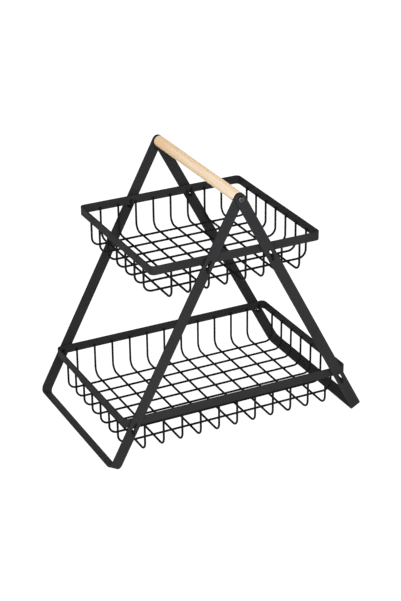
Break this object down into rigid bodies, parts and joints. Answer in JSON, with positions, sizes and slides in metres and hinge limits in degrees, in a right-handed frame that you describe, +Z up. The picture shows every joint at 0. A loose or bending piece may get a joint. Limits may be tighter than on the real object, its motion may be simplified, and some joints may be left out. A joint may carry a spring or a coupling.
{
  "type": "tiered wire basket",
  "caption": "Two wire baskets, the smaller above the larger, hooked into a stand of crossed flat-bar frames with a round wooden carrying handle.",
  "frame": {"origin": "on the floor, at the bottom centre of the whole object", "axes": "+X along the baskets' length, to the right seen from the front; +Y from front to back, along the handle; +Z up"},
  "size_m": [0.3314, 0.2212, 0.312],
  "materials": {
    "stand_coat": "satin powder coat",
    "basket_coat": "satin powder coat",
    "handle_wood": "sanded pale wood",
    "insert_brass": "turned",
    "screw_steel": "black oxide"
  },
  "bodies": {
    "stand": {"left_frame": "stand_coat", "right_frame": "stand_coat"},
    "handle": {"handle": "handle_wood", "handle_insert_front": "insert_brass", "handle_insert_back": "insert_brass", "handle_screw_front": "screw_steel", "handle_screw_back": "screw_steel"},
    "upper_basket": {"upper_basket_rim": "basket_coat", "upper_basket_cross_wire_01": "basket_coat", "upper_basket_cross_wire_02": "basket_coat", "upper_basket_cross_wire_03": "basket_coat", "upper_basket_cross_wire_04": "basket_coat", "upper_basket_cross_wire_05": "basket_coat", "upper_basket_cross_wire_06": "basket_coat", "upper_basket_cross_wire_07": "basket_coat", "upper_basket_cross_wire_08": "basket_coat", "upper_basket_long_wire_1": "basket_coat", "upper_basket_long_wire_2": "basket_coat", "upper_basket_long_wire_3": "basket_coat", "upper_basket_long_wire_4": "basket_coat", "upper_basket_long_wire_5": "basket_coat", "upper_basket_long_wire_6": "basket_coat", "upper_basket_long_wire_7": "basket_coat", "upper_basket_hook_front_left": "basket_coat", "upper_basket_hook_front_right": "basket_coat", "upper_basket_hook_back_left": "basket_coat", "upper_basket_hook_back_right": "basket_coat"},
    "lower_basket": {"lower_basket_rim": "basket_coat", "lower_basket_cross_wire_01": "basket_coat", "lower_basket_cross_wire_02": "basket_coat", "lower_basket_cross_wire_03": "basket_coat", "lower_basket_cross_wire_04": "basket_coat", "lower_basket_cross_wire_05": "basket_coat", "lower_basket_cross_wire_06": "basket_coat", "lower_basket_cross_wire_07": "basket_coat", "lower_basket_cross_wire_08": "basket_coat", "lower_basket_cross_wire_09": "basket_coat", "lower_basket_cross_wire_10": "basket_coat", "lower_basket_cross_wire_11": "basket_coat", "lower_basket_long_wire_1": "basket_coat", "lower_basket_long_wire_2": "basket_coat", "lower_basket_long_wire_3": "basket_coat", "lower_basket_long_wire_4": "basket_coat", "lower_basket_long_wire_5": "basket_coat", "lower_basket_long_wire_6": "basket_coat", "lower_basket_long_wire_7": "basket_coat", "lower_basket_hook_front_left": "basket_coat", "lower_basket_hook_front_right": "basket_coat", "lower_basket_hook_back_left": "basket_coat", "lower_basket_hook_back_right": "basket_coat"}
  },
  "joints": [
    {"name": "handle_turn", "type": "hinge", "parent": "stand", "child": "handle", "pos_m": [0, 0, 0.30539], "axis": [0, 1, 0], "continuous": true},
    {"name": "upper_basket_lift", "type": "slide", "parent": "stand", "child": "upper_basket", "axis": [0, 0, 1], "range_m": [0, 0.0012]},
    {"name": "lower_basket_lift", "type": "slide", "parent": "stand", "child": "lower_basket", "axis": [0, 0, 1], "range_m": [0, 0.0012]}
  ]
}
